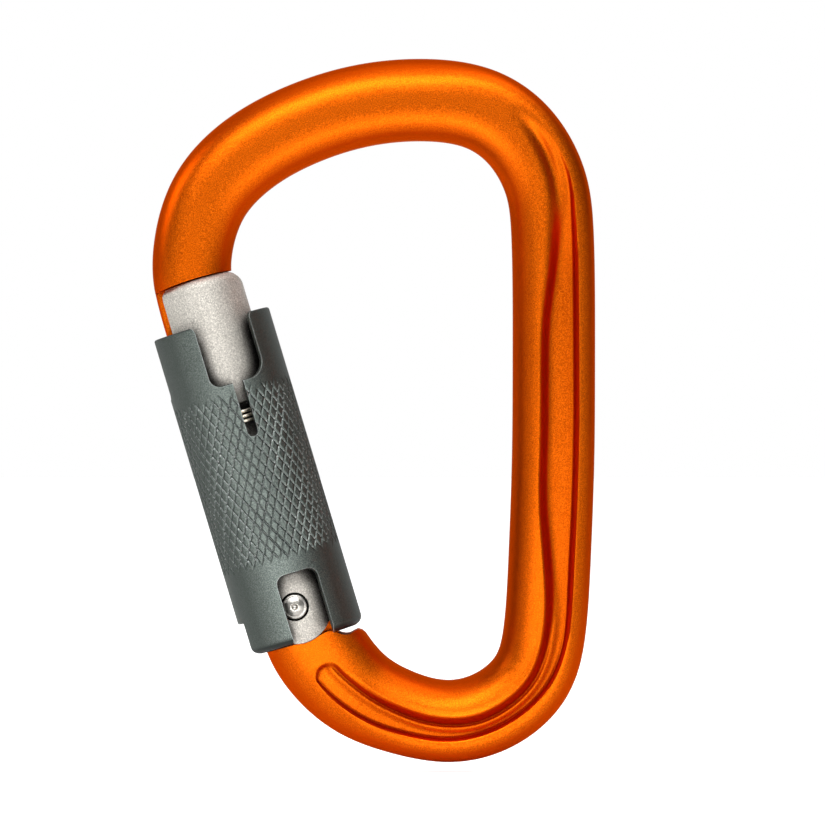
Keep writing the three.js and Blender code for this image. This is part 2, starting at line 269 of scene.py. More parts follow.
def tube(name, path, radius, sides=12):
    """A wire along a gate-frame path, with closed ends."""
    path = np.asarray(path, float)
    along = np.gradient(path, axis=0)
    along /= np.linalg.norm(along, axis=1)[:, None]
    outward = path * np.array([1.0, 1.0, 0.0])
    outward -= (outward * along).sum(axis=1)[:, None] * along
    outward /= np.linalg.norm(outward, axis=1)[:, None]
    third = np.cross(along, outward)
    turn = np.linspace(0, 2 * math.pi, sides, endpoint=False)
    ring = np.cos(turn)[None, :, None] * outward[:, None] + np.sin(turn)[None, :, None] * third[:, None]
    vertices = (path[:, None] + radius * ring).reshape(-1, 3)
    faces = []
    for i in range(len(path) - 1):
        for j in range(sides):
            k = (j + 1) % sides
            faces.append((i * sides + j, i * sides + k, (i + 1) * sides + k, (i + 1) * sides + j))
    faces.append(tuple(range(sides)))
    faces.append(tuple(range((len(path) - 1) * sides, len(path) * sides)))
    obj = face_outwards(new_object(name, gate_to_row(vertices), faces))
    sharpen(obj, 60)
    return obj


# ---------- The bar's middle line ----------
def smooth_curve(knots, count=4000):
    """A natural cubic spline through 2D knots, as points evenly spaced along its length."""
    knots = np.asarray(knots, float)
    h = np.sqrt(np.linalg.norm(np.diff(knots, axis=0), axis=1))
    t = np.concatenate([[0], np.cumsum(h)])
    n = len(knots)
    system = np.eye(n)
    right = np.zeros((n, 2))
    for i in range(1, n - 1):
        system[i, i - 1:i + 2] = h[i - 1], 2 * (h[i - 1] + h[i]), h[i]
        right[i] = 6 * ((knots[i + 1] - knots[i]) / h[i] - (knots[i] - knots[i - 1]) / h[i - 1])
    bend = np.linalg.solve(system, right)
    where = np.linspace(0, t[-1], count * 4)
    i = np.clip(np.searchsorted(t, where, side="right") - 1, 0, n - 2)
    a = ((t[i + 1] - where) / h[i])[:, None]
    b = 1 - a
    span = (h[i] ** 2)[:, None] / 6
    points = a * knots[i] + b * knots[i + 1] + ((a**3 - a) * bend[i] + (b**3 - b) * bend[i + 1]) * span
    length = np.concatenate([[0], np.cumsum(np.linalg.norm(np.diff(points, axis=0), axis=1))])
    even = np.linspace(0, length[-1], count)
    return np.column_stack([np.interp(even, length, points[:, k]) for k in (0, 1)]), even


NOSE_LINE = -0.7
LEDGE_LINE = 1.3
NOSE_WIDENS = (0.03, 0.14)  # shares of the bar's length between which its width changes
LEDGE_WIDENS = (0.86, 0.975)
MIDDLE_KNOTS = [
    gate_point(NOSE_LINE, 46), gate_point(NOSE_LINE, 51),
    (-26.9, 25.3), (-24.3, 32.55), (-18.3, 38.75), (-10.6, 42.95), (-2.1, 45.62), (7.1, 46.55),
    (15.9, 45.2), (22.0, 40.9), (25.6, 34.6), (26.8, 27.0), (27.03, 8.0), (26.9, -8.0), (26.4, -22.0),
    (25.7, -32.5), (23.7, -39.75), (18.4, -44.7), (11.2, -46.55), (3.25, -44.9), (-3.4, -41.3),
    gate_point(LEDGE_LINE, -6.0), gate_point(LEDGE_LINE, -1.0),
]
MIDDLE, DISTANCE = smooth_curve(MIDDLE_KNOTS)
LENGTH = DISTANCE[-1]


def middle_at(d):
    return np.array([np.interp(d, DISTANCE, MIDDLE[:, k]) for k in (0, 1)])


def outward_at(d):
    """The unit vector across the bar, towards its outer edge."""
    step = 0.25
    along = middle_at(min(d + step, LENGTH)) - middle_at(max(d - step, 0))
    along /= np.linalg.norm(along)
    return np.array([-along[1], along[0]])


def smoothstep(x, low, high):
    x = np.clip((x - low) / (high - low), 0, 1)
    return x * x * (3 - 2 * x)


def half_width_at(d):
    t = d / LENGTH
    top = NOSE_HALF_WIDTH + (BAR_HALF_WIDTH - NOSE_HALF_WIDTH) * smoothstep(t, *NOSE_WIDENS)
    return top + (LEDGE_HALF_WIDTH - top) * smoothstep(t, *LEDGE_WIDENS)


def on_middle(x, z):
    """Distance along the middle line, and offset towards the outer edge, of a row frame point."""
    i = int(np.argmin(np.hypot(MIDDLE[:, 0] - x, MIDDLE[:, 1] - z)))
    offset = np.array([x, z]) - MIDDLE[i]
    return DISTANCE[i], float(offset @ outward_at(DISTANCE[i]))


# ---------- Body ----------
# The channel's two walls, as (x, z) in mm, from the top of the spine to the basket's end.
INNER_WALL = [
    (22.4, 42.7), (24.6, 39.9), (26.4, 36.1), (27.2, 32.1), (27.15, 28.0), (26.9, 22.0), (26.55, 19.0),
    (26.05, 16.0), (25.7, 12.0), (25.6, 8.0), (25.6, 4.0), (25.55, -4.0), (25.35, -9.0), (25.35, -14.0),
    (25.85, -20.0), (26.2, -24.0), (26.45, -29.0), (26.2, -32.5), (24.6, -38.5), (20.6, -43.5), (14.5, -46.5),
    (11.2, -46.6), (8.5, -46.4), (3.0, -44.4), (-0.5, -42.4), (-3.2, -40.2), (-5.6, -38.1),
]
OUTER_WALL = [
    (29.2, 35.9), (29.9, 30.0), (30.3, 18.0), (30.4, 0.0), (30.0, -16.0), (29.5, -26.0), (28.9, -34.0),
    (26.4, -40.8), (22.0, -45.5), (16.4, -48.4), (11.4, -49.35), (6.5, -48.8), (0.6, -47.2), (-3.8, -44.7),
    (-7.6, -41.5),
]
WALL_SMOOTHING = 2.4  # mm along the bar, to each side
# Powers of the superellipse that rounds the bar: the plain bar, the outer side of the spine's channel, the
# inner side of the whole channel, and the outer side of the basket's.
SECTION_POWER = 2.55
SQUARE_POWER = 4.6
ROUND_POWER = 2.25
BASKET_POWER = 2.9
FACE_BLEND = 0.95


def wall_offsets(wall):
    """A wall's offset from the middle line as a function of distance along it, averaged to run smoothly."""
    places = np.array([on_middle(x, z) for x, z in wall])
    nearby = np.linspace(-WALL_SMOOTHING, WALL_SMOOTHING, 13)
    return lambda d: float(np.interp(d + nearby, places[:, 0], places[:, 1]).mean())


def softplus(x, soft):
    return soft * np.logaddexp(0, x / soft)


def smooth_min(a, b, blend):
    h = np.clip(0.5 + 0.5 * (b - a) / blend, 0, 1)
    return b * (1 - h) + a * h - blend * h * (1 - h)


def mix(a, b, share):
    return a + (b - a) * share


class Channel:
    """The I-beam channel: how far the bar's face stands from the middle plane inside it."""

    SHALLOW = 3.4
    INNER_SLOPE, INNER_SHIFT, INNER_SOFT, BASKET_SOFT = 2.6, 0.38, 0.22, 0.1
    OUTER_SLOPE, OUTER_SHIFT, OUTER_SOFT = 5.0, 0.26, 0.12
    GUTTER_DEPTH, GUTTER_WIDTH, GUTTER_SHIFT = 0.95, 1.05, 0.35
    PLATEAU = 0.4
    TIP_RISE = 1.45
    RIDGE_HEIGHT, RIDGE_WIDTH, RIDGE_PLACE = 0.34, 0.5, 0.88
    LIP_HEIGHT, LIP_WIDTH, LIP_SET_BACK = 0.17, 0.32, 0.95
    SPINE_SHOULDER, BASKET_SHOULDER = 4.0, 1.75
    SHOULDER_SLOPE, SHOULDER_BLEND = 0.32, 0.4
    TOP_SOFT = 0.6
    END_POINT = (-7.55, -37.9)
    BASKET_FROM, BASKET_TO = (26.4, -22.0), (22.0, -42.0)

    def __init__(self):
        self.inner = wall_offsets(INNER_WALL)
        self.outer = wall_offsets(OUTER_WALL)
        self.start = on_middle(*INNER_WALL[0])[0]
        self.end = on_middle(*self.END_POINT)[0]
        self.basket = (on_middle(*self.BASKET_FROM)[0], on_middle(*self.BASKET_TO)[0])

    def in_basket(self, d):
        """0 along the spine, 1 in the bottom bend."""
        return smoothstep(d, *self.basket)

    def floor(self, d, u, inner, outer):
        """Flat on the spine and ramping out at the top; in the basket it is raised, with a ridge inside."""
        ramp = self.SHALLOW * (1 - smoothstep(d, self.start - 5, self.start + 24))
        raised = self.PLATEAU * (1 - smoothstep(u, outer - 0.7, outer - 0.2))
        raised = raised * smoothstep(u, inner, inner + 0.8)
        ridge = self.RIDGE_HEIGHT * np.exp(-((u - inner - self.RIDGE_PLACE) / self.RIDGE_WIDTH) ** 2)
        fade = 1 - smoothstep(d, self.end - 1.2, self.end - 0.2)
        tip = self.TIP_RISE * smoothstep(d, self.end - 18, self.end - 1)
        return WEB_HALF_THICKNESS + ramp + tip + self.in_basket(d) * (raised + ridge * fade)

    def face(self, d, u):
        """The floor with its two walls; past the centre of the round end the walls become one."""
        inner, outer = self.inner(d), self.outer(d)
        half, middle = (outer - inner) / 2, (outer + inner) / 2
        centre = self.end - half
        if d <= centre:
            to_inner, to_outer = inner - u, u - outer
            share = 0.0
        else:
            to_inner = to_outer = np.hypot(d - centre, u - middle) - half
            share = smoothstep((u - middle) / half, -0.9, 0.9)
        basket = self.in_basket(d)
        soft = mix(self.TOP_SOFT, self.INNER_SOFT, smoothstep(d, self.start, self.start + 24))
        soft = mix(soft, self.BASKET_SOFT, basket)
        inner_rise = self.INNER_SLOPE * softplus(to_inner + self.INNER_SHIFT, soft)
        outer_rise = self.OUTER_SLOPE * softplus(to_outer + self.OUTER_SHIFT, self.OUTER_SOFT)
        lowered = basket * (1 - smoothstep(d, self.end - 9, self.end - 3))
        shoulder = mix(self.SPINE_SHOULDER, self.BASKET_SHOULDER, lowered)
        shoulder = shoulder + self.SHOULDER_SLOPE * np.maximum(to_outer, -1)
        outer_rise = smooth_min(outer_rise, shoulder, self.SHOULDER_BLEND)
        if d <= centre:
            return self.floor(d, u, inner, outer) + inner_rise + outer_rise
        return self.floor(d, u, inner, outer) + mix(inner_rise, outer_rise, share)

    def gutter(self, d, u):
        """The soft furrow that leads into the channel's inner wall at the top."""
        fade = smoothstep(d, self.start - 3, self.start + 5)
        fade = fade * (1 - smoothstep(d, self.start + 21, self.start + 38))
        away = (u - self.inner(d) - self.GUTTER_SHIFT) / self.GUTTER_WIDTH
        return self.GUTTER_DEPTH * fade * np.exp(-away**2)

    def lip(self, d, u):
        """The thin bead that stands proud of the inner band along the basket."""
        fade = self.in_basket(d) * (1 - smoothstep(d, self.end - 8, self.end - 3))
        away = (u - self.inner(d) + self.LIP_SET_BACK) / self.LIP_WIDTH
        return self.LIP_HEIGHT * fade * np.exp(-away**2)


def section_rows(w, inner, outer):
    """Offsets across the bar from its outer edge to its inner one, crowded where the walls stand."""
    power = 2 / SECTION_POWER
    band = 0.75
    top = math.acos(min(1, ((outer + band) / w)) ** (1 / power))
    lip = w * np.cos(np.linspace(0, top, 15)[:-1]) ** power
    wall = np.linspace(outer + band, outer - band, 13)[:-1]
    floor = np.linspace(outer - band, inner + band, 9)[:-1]
    slope = np.linspace(inner + band, inner - band - 0.4, 15)[:-1]
    start = inner - band - 0.4
    share = math.asin(max(-1, min(1, start / w)))
    rest = w * np.sin(np.linspace(share, -math.pi / 2, 22))
    return np.concatenate([lip, wall, floor, slope, rest])


def bar_face(w, thickness, u, inner_power, outer_power):
    """Height of the bar's face over its middle plane; its two halves may be rounder or squarer."""
    power = np.where(u > 0, outer_power, inner_power)
    return thickness * np.maximum(0, 1 - np.abs(u / w) ** power) ** (1 / power)


def bar_ring(d, channel):
    """One closed ring of row frame points, in mm, round the bar at distance d."""
    centre, outward, w = middle_at(d), outward_at(d), half_width_at(d)
    u = section_rows(w, channel.inner(d), channel.outer(d))
    spine = smoothstep(d, channel.start - 16, channel.start + 4)
    spine = spine * (1 - smoothstep(d, channel.end - 9, channel.end))
    outer_power = mix(SQUARE_POWER, BASKET_POWER, channel.in_basket(d))
    powers = mix(SECTION_POWER, ROUND_POWER, spine), mix(SECTION_POWER, outer_power, spine)
    plain = bar_face(w, BAR_HALF_THICKNESS, u, *powers) + channel.lip(d, u) - channel.gutter(d, u)
    y = smooth_min(plain, channel.face(d, u), FACE_BLEND)
    y[0] = y[-1] = 0.0
    front = [(centre[0] + outward[0] * a, -b, centre[1] + outward[1] * a) for a, b in zip(u, y)]
    back = [(x, -y_front, z) for x, y_front, z in front]
    return front + back[-2:0:-1]


def ring_distances(channel):
    """Where the rings stand: close together at the channel's round end."""
    end_margin, fine_step, coarse_step = 0.5, 0.12, 0.4
    distances = [end_margin]
    while distances[-1] < LENGTH - end_margin:
        close = abs(distances[-1] - channel.end + 1.5) < 2.4
        distances.append(distances[-1] + (fine_step if close else coarse_step))
    return distances[:-1]


def make_bar():
    """The bent bar with its channels, a little too long at both ends."""
    channel = Channel()
    rings = [bar_ring(d, channel) for d in ring_distances(channel)]
    size = len(rings[0])
    vertices = np.array(rings).reshape(-1, 3) * MM
    faces = []
    for i in range(len(rings) - 1):
        for j in range(size):
            k = (j + 1) % size
            faces.append((i * size + j, i * size + k, (i + 1) * size + k, (i + 1) * size + j))
    for base in (0, (len(rings) - 1) * size):
        for j in range(size // 2):
            corners = (base + j, base + j + 1, base + (size - j - 1) % size, base + (size - j) % size)
            faces.append(tuple(dict.fromkeys(corners)))
    return face_outwards(new_object("body_bar", vertices, faces))


def nose_end_cutter():
    """Trims the bar to an arc about the hinge, which the gate's top passes under."""
    face = GATE_TOP + END_GAP
    reach = math.degrees(math.asin(10 / face))
    outline = arc((0, 0), face, 90 - reach, 90 + reach, 24).tolist() + [(-10, 40), (10, 40)]
    return side_prism("nose_end", outline, -THROUGH, THROUGH)


def ledge_cutter():
    """Trims the bar to the ledge under the gate, with a dip and a round shoulder on the inner side."""
    rise = [(0.8, LEDGE_HEIGHT), (3.6, -4.95), (4.3, -5.0)]
    knots = [(4.5, -5.1), (5.2, -5.75), (6.5, -6.3), (7.7, -6.03), (8.35, -6.15), (9.3, -7.4)]
    dip, _ = smooth_curve(knots, 10)
    outline = [(-12, LEDGE_HEIGHT)] + rise + dip.tolist() + [(12, -7.4), (12, 12), (-12, 12)]
    return side_prism("ledge_end", outline, -THROUGH, THROUGH)


def make_body():
    body = make_bar()
    combine(body, nose_end_cutter(), "DIFFERENCE")
    combine(body, ledge_cutter(), "DIFFERENCE")
    seat = side_prism("seat", circle(TAIL_RADIUS + END_GAP, 96), -THROUGH, THROUGH)
    combine(body, seat, "DIFFERENCE")
    combine(body, make_tang(), "UNION")
    combine(body, make_nose_blade(), "UNION")
    sharpen(body, 40)
    return body


def make_tang():
    """The hinge tang: round on one side, with a cam on the other that lifts the plunger over the swing."""
    steps, past_swing = 24, 1.2
    outline = [(-4.8, -8.0), (-4.8, -3.0)]
    outline += arc((0, 0), TANG_RADIUS, 180, 90, steps).tolist()
    for k in range(1, steps + 1):
        turn = SWING * past_swing * k / steps
        r = TANG_RADIUS + CAM_LIFT * min(1, turn / SWING)
        outline.append((r * math.sin(turn), r * math.cos(turn)))
    outline += [(4.9, 1.5), (5.0, -3.0), (5.2, -8.0)]
    tang = side_prism("tang", outline, -TANG_HALF_THICKNESS, TANG_HALF_THICKNESS)
    combine(tang, side_prism("hole", circle(1.8), -4, 4), "DIFFERENCE")
    soften_edges(tang, 0.2)
    return tang


def make_nose_blade():
    """The blade that reaches from the nose into the gate's slot."""
    root, bend = 53.6, 42.4
    outer, _ = smooth_curve(
        [(-5.9, root), (-6.42, 52.2), (-6.68, 50.0), (BLADE_OUTER, 46.5), (BLADE_OUTER, bend)], 8
    )
    tip = fillet([
        (BLADE_OUTER, bend, 0), (BLADE_OUTER, BLADE_TIP, 1.1),
        (BLADE_INNER, BLADE_TIP, 1.2), (BLADE_INNER, root, 0),
    ], 8)
    outline = outer.tolist() + tip[1:].tolist()
    blade = side_prism("nose_blade", outline, -BLADE_HALF_THICKNESS, BLADE_HALF_THICKNESS)
    soften_edges(blade, 0.7, angle=50, segments=5)
    return blade


# ---------- Gate ----------
def make_gate():
    R = GATE_RADIUS
    foot = -7
    ring_groove_radius, ring_groove = 5.6, (6.85, 7.95)
    outline = fillet([
        (0, foot, 0), (R, foot, 0), (R, ring_groove[0], 0), (ring_groove_radius, ring_groove[0], 0),
        (ring_groove_radius, ring_groove[1], 0), (R, ring_groove[1], 0), (R, NECK[0], 0.25),
        (NECK_RADIUS, NECK[0] + 0.1, 0.3), (NECK_RADIUS, NECK[1] - 0.1, 0.3), (R, NECK[1], 0.25),
        (R, GATE_TOP - 0.1, 1.5), (0, GATE_TOP, 0),
    ], 8)
    gate = turned("gate_shaft", outline, 160)
    combine(gate, gate_side_view(), "INTERSECT")
    far = THROUGH
    bore, bore_end = PLUNGER_BORE_RADIUS, 20.0
    cutters = [
        side_prism("fork", rectangle(-far, far, -far, FORK_CROTCH), -FORK_HALF_GAP, FORK_HALF_GAP),
        side_prism("rivet_hole", circle(RIVET_HOLE_RADIUS), -far, far),
        side_prism("front_counterbore", circle(COUNTERBORE_RADIUS), -far, -COUNTERBORE_FLOOR),
        side_prism("back_counterbore", circle(COUNTERBORE_RADIUS), COUNTERBORE_FLOOR, far),
        side_prism(
            "nose_slot", rectangle(-far, -0.5, NOSE_SLOT_FLOOR, GATE_TOP + 2),
            -NOSE_SLOT_HALF_WIDTH, NOSE_SLOT_HALF_WIDTH,
        ),
        turned("plunger_bore", [(0, 6.0), (bore, 6.0), (bore, bore_end), (0, bore_end + 0.6)], 48),
        side_prism("keyway", rectangle(-1.1, 1.1, NECK[0] + 0.2, 17.5), 3.95, far),
    ]
    for cutter in cutters:
        combine(gate, cutter, "DIFFERENCE")
    soften_edges(gate, 0.16)
    return gate


def gate_side_view():
    """The gate's outline from the front: a round tail about the hinge, and a flat beside the nose."""
    wide, flat, top = GATE_RADIUS + 0.02, -5.82, GATE_TOP
    tail = arc((0, 0), TAIL_RADIUS, 188, 352, 48).tolist()
    crown_half_width = 4.6
    right_end, left_end = (math.degrees(math.acos(n / top)) for n in (crown_half_width, -crown_half_width))
    crown = arc((0, 0), top, right_end, left_end, 24).tolist()
    right = [(wide, 1.6), (wide, 48.5), (6.26, 49.2), (5.95, 49.85), (5.4, 50.45)]
    left = [
        (-5.15, 50.6), (-5.5, 50.3), (-5.72, 49.8), (flat, 49.2),
        (flat, 36.5), (-wide, 35.5), (-wide, 1.6),
    ]
    side = right + crown + left
    return side_prism("side_view", tail + side, -THROUGH, THROUGH)


# ---------- Sleeve ----------
STARTS = 40
DIAMOND_HEIGHT = 2.5
GROOVE_HALF_WIDTH = 0.2
LEFT_HAND = {"seed": 3, "deep": 0.2}
RIGHT_HAND = {"seed": 8, "deep": 0.14}


def groove_depth(phase, height, seed, deep):
    """Depth of one family of helical grooves, with its own small differences from groove to groove."""
    spacing = 2 * math.pi * SLEEVE_OUTER / STARTS
    lean = math.cos(math.atan(spacing / DIAMOND_HEIGHT))
    number = np.round(phase)
    away = np.abs(phase - number) * spacing * lean
    luck = np.random.RandomState(seed).uniform(-1, 1, (3, STARTS * 4))
    index = number.astype(int) % STARTS
    groove = np.clip(1 - away / GROOVE_HALF_WIDTH, 0, 1)
    low = KNURL[0] + 0.35 * luck[1, index]
    high = KNURL[1] + 0.35 * luck[2, index]
    fade = smoothstep(height, low - 0.2, low + 0.9)
    fade = fade * (1 - smoothstep(height, high - 0.9, high + 0.2))
    return deep * (1 + 0.18 * luck[0, index]) * groove * fade


def knurled(radius, turn, height):
    """The sleeve's outer radius with the knurl cut into it."""
    first = STARTS * turn / (2 * math.pi) + height / DIAMOND_HEIGHT
    second = STARTS * turn / (2 * math.pi) - height / DIAMOND_HEIGHT
    cut = np.maximum(groove_depth(first, height, **LEFT_HAND), groove_depth(second, height, **RIGHT_HAND))
    return radius - cut


def make_sleeve():
    """The sleeve, turned from its profile; the rows between its rounded ends carry the knurl."""
    segments, row_step = 640, 0.125
    low = fillet([(SLEEVE_INNER, SLEEVE_BOTTOM, 0.25), (SLEEVE_OUTER, SLEEVE_BOTTOM, 1.35),
                  (SLEEVE_OUTER, 2.0, 0), (SLEEVE_INNER, 2.0, 0)], 8)[:-2]
    high = fillet([(SLEEVE_INNER, 40.0, 0), (SLEEVE_OUTER, 40.0, 0), (SLEEVE_OUTER, SLEEVE_TOP, 0.4),
                   (SLEEVE_INNER, SLEEVE_TOP, 0.3)], 6)[2:]
    knurl_rows = np.arange(KNURL[0] - 0.8, KNURL[1] + 0.8, row_step)
    middle = [(SLEEVE_OUTER, h) for h in knurl_rows]
    inside = [
        (SLEEVE_INNER, SLEEVE_LIP[1]), (SLEEVE_LIP_RADIUS, SLEEVE_LIP[1]),
        (SLEEVE_LIP_RADIUS, SLEEVE_LIP[0]), (SLEEVE_INNER, SLEEVE_LIP[0]),
    ]
    profile = np.array(low.tolist() + middle + high.tolist() + inside)
    turn = np.linspace(0, 2 * math.pi, segments, endpoint=False)
    radius = np.repeat(profile[:, 0:1], segments, axis=1)
    height = np.repeat(profile[:, 1:2], segments, axis=1)
    on_outside = slice(len(low), len(low) + len(middle))
    radius[on_outside] = knurled(radius[on_outside], turn[None, :], height[on_outside])
    vertices = np.stack([radius * np.sin(turn), -radius * np.cos(turn), height], axis=2).reshape(-1, 3)
    faces = []
    rows = len(profile)
    for i in range(rows):
        for j in range(segments):
            k = (j + 1) % segments
            after = (i + 1) % rows
            faces.append((i * segments + j, i * segments + k, after * segments + k, after * segments + j))
    sleeve = face_outwards(new_object("sleeve_shell", gate_to_row(vertices), faces))
    for cutter in sleeve_cutters():
        combine(sleeve, cutter, "DIFFERENCE")
    sharpen(sleeve, 35)
    return sleeve


def window(name, angle, width, closed_end, open_end, corners, edge=0.28, mouth=None):
    """A window's cutter, flared where it leaves the sleeve so that the rim comes out rounded.

    corners are the left and right corner radii; mouth is the height and radius of the open end's corners."""
    half = width / 2
    inner_end, beyond_skin = 4.0, 1.5
    path = [
        (-half, open_end, 0), (-half, closed_end, corners[0]),
        (half, closed_end, corners[1]), (half, open_end, 0),
    ]
    if mouth:
        height, radius = mouth
        wide = half + radius + 2.0
        left = [(-wide, open_end, 0), (-wide, height + 0.35, 0), (-half, height, radius)]
        path = left + path[1:3] + [(-a, b, r) for a, b, r in left[::-1]]
    outline = evenly(fillet(path, 10), 0.35)
    along = np.roll(outline, -1, axis=0) - np.roll(outline, 1, axis=0)
    away = np.column_stack([along[:, 1], -along[:, 0]]) / np.linalg.norm(along, axis=1)[:, None]
    if (away * (outline - outline.mean(axis=0))).sum() < 0:
        away = -away
    skin = np.sqrt(SLEEVE_OUTER**2 - np.minimum(np.abs(outline[:, 0]), half) ** 2)
    rings = [(outline, np.full(len(outline), inner_end))]
    for t in np.radians([0, 22, 44, 66]):
        rings.append((outline + away * edge * (1 - math.cos(t)), skin - edge + edge * math.sin(t)))
    rings.append((rings[-1][0] + away * 0.05, skin + beyond_skin))
    a, count = math.radians(angle), len(outline)
    vertices = [
        (u * math.cos(a) + r * math.sin(a), u * math.sin(a) - r * math.cos(a), v)
        for ring, depth in rings for (u, v), r in zip(ring, depth)
    ]
    faces = [tuple(range(count)), tuple(range(len(vertices) - 1, len(vertices) - count - 1, -1))]
    for k in range(len(rings) - 1):
        for i in range(count):
            j = (i + 1) % count
            faces.append((k * count + i, k * count + j, (k + 1) * count + j, (k + 1) * count + i))
    return face_outwards(new_object(name, gate_to_row(np.array(vertices)), faces))


def evenly(outline, step):
    """The same closed outline with extra points on its long sides."""
    points = []
    for here, there in zip(outline, np.roll(outline, -1, axis=0)):
        pieces = max(1, int(math.ceil(np.linalg.norm(there - here) / step)))
        points += [here + (there - here) * k / pieces for k in range(pieces)]
    return np.array(points)


def sleeve_cutters():
    """The sleeve's windows: angle from the front in degrees, width, closed end, open end, corner radii."""
    above, below = SLEEVE_TOP + 3, SLEEVE_BOTTOM - 3
    return [
        window("top_window", 13.1, 8.4, 34.6, above, (1.4, 2.6), mouth=(SLEEVE_TOP, 1.1)),
        window("slit", 10.5, 1.6, 26.1, 36.0, (0.79, 0.79), edge=0.06),
        window("nose_gateway", -90, 3.8, 35.0, above, (0.8, 0.8)),
        window("bottom_window", 11, 6.2, 4.9, below, (1.3, 1.3)),
        window("side_notch", -90, 7.9, -0.3, below, (0.35, 0.35)),
    ]


# ---------- Small parts ----------
def make_rivet():
    head, shank, under, face = 1.9, 1.5, 5.55, 6.4
    half = [(shank, under - 0.2), (head - 0.1, under), (head, under + 0.1), (head, face - 0.5)]
    half += arc((head - 0.35, face - 0.5), 0.35, 0, 60, 6).tolist()[1:]
    half += arc((0, face - 3.6), 3.7, 66, 80.5, 8).tolist()
    dimple = [(0.52, 0.05), (0.44, -0.08), (0.3, -0.2), (0.14, -0.26), (0.0, -0.27)]
    half += [(r, face + rise) for r, rise in dimple]
    profile = [(r, -y) for r, y in half[::-1]] + half
    rivet = turned("rivet_pin", profile, 96, axis="y")
    sharpen(rivet, 50)
    return rivet


def make_plunger():
    radius, tip, top = 1.6, 4.95, 13.0
    profile = arc((0, tip + radius), radius, -90, 0, 12).tolist()
    profile[0] = [0, tip]
    profile += [[radius, top - 0.3], [radius - 0.3, top], [0, top]]
    plunger = turned("plunger_pin", profile, 48)
    sharpen(plunger, 40)
    return plunger


def helix(radius, heights_and_turns, steps=36):
    """A coil whose pitch changes: a list of (height, turns so far)."""
    table = np.array(heights_and_turns, float)
    turns = np.arange(0, table[-1, 1] + 1e-9, 1 / steps)
    height = np.interp(turns, table[:, 1], table[:, 0])
    angle = 2 * math.pi * turns
    return np.column_stack([radius * np.sin(angle), -radius * np.cos(angle), height])


def make_sleeve_spring():
    radius, wire = 5.95, 0.27
    path = helix(radius, [(12.5, 0), (13.2, 1), (13.9, 2), (28.6, 7), (29.35, 8), (30.1, 9), (30.9, 10)])
    return tube("sleeve_coil", path, wire, 14)


def make_gate_spring():
    radius, wire = 1.3, 0.22
    path = helix(radius, [(13.3, 0), (13.8, 1), (19.2, 8), (19.7, 9)], 24)
    return tube("gate_coil", path, wire, 10)


def make_collar():
    inner, outer = 5.3, 7.4
    bottom, top = COLLAR
    outline = fillet([
        (inner, bottom, 0.15), (outer, bottom, 0.25), (outer, top, 0.25), (inner, top, 0.15),
    ], 4)
    collar = turned("collar_ring", outline, 128)
    tongue = side_prism("tongue", rectangle(-0.85, 0.85, bottom, top), 4.25, 6.4)
    combine(collar, tongue, "UNION")
    sharpen(collar, 35)
    return collar


def make_retaining_ring():
    inner, outer, bottom, top, edge = 5.85, 7.2, 7.15, 7.65, 0.1
    outline = fillet([
        (inner, bottom, edge), (outer, bottom, edge), (outer, top, edge), (inner, top, edge),
    ], 3)
    ring = turned("snap_ring", outline, 128)
    combine(ring, side_prism("mouth", rectangle(2, 9, 6, 9), -2.5, 2.5), "DIFFERENCE")
    sharpen(ring, 35)
    return ring


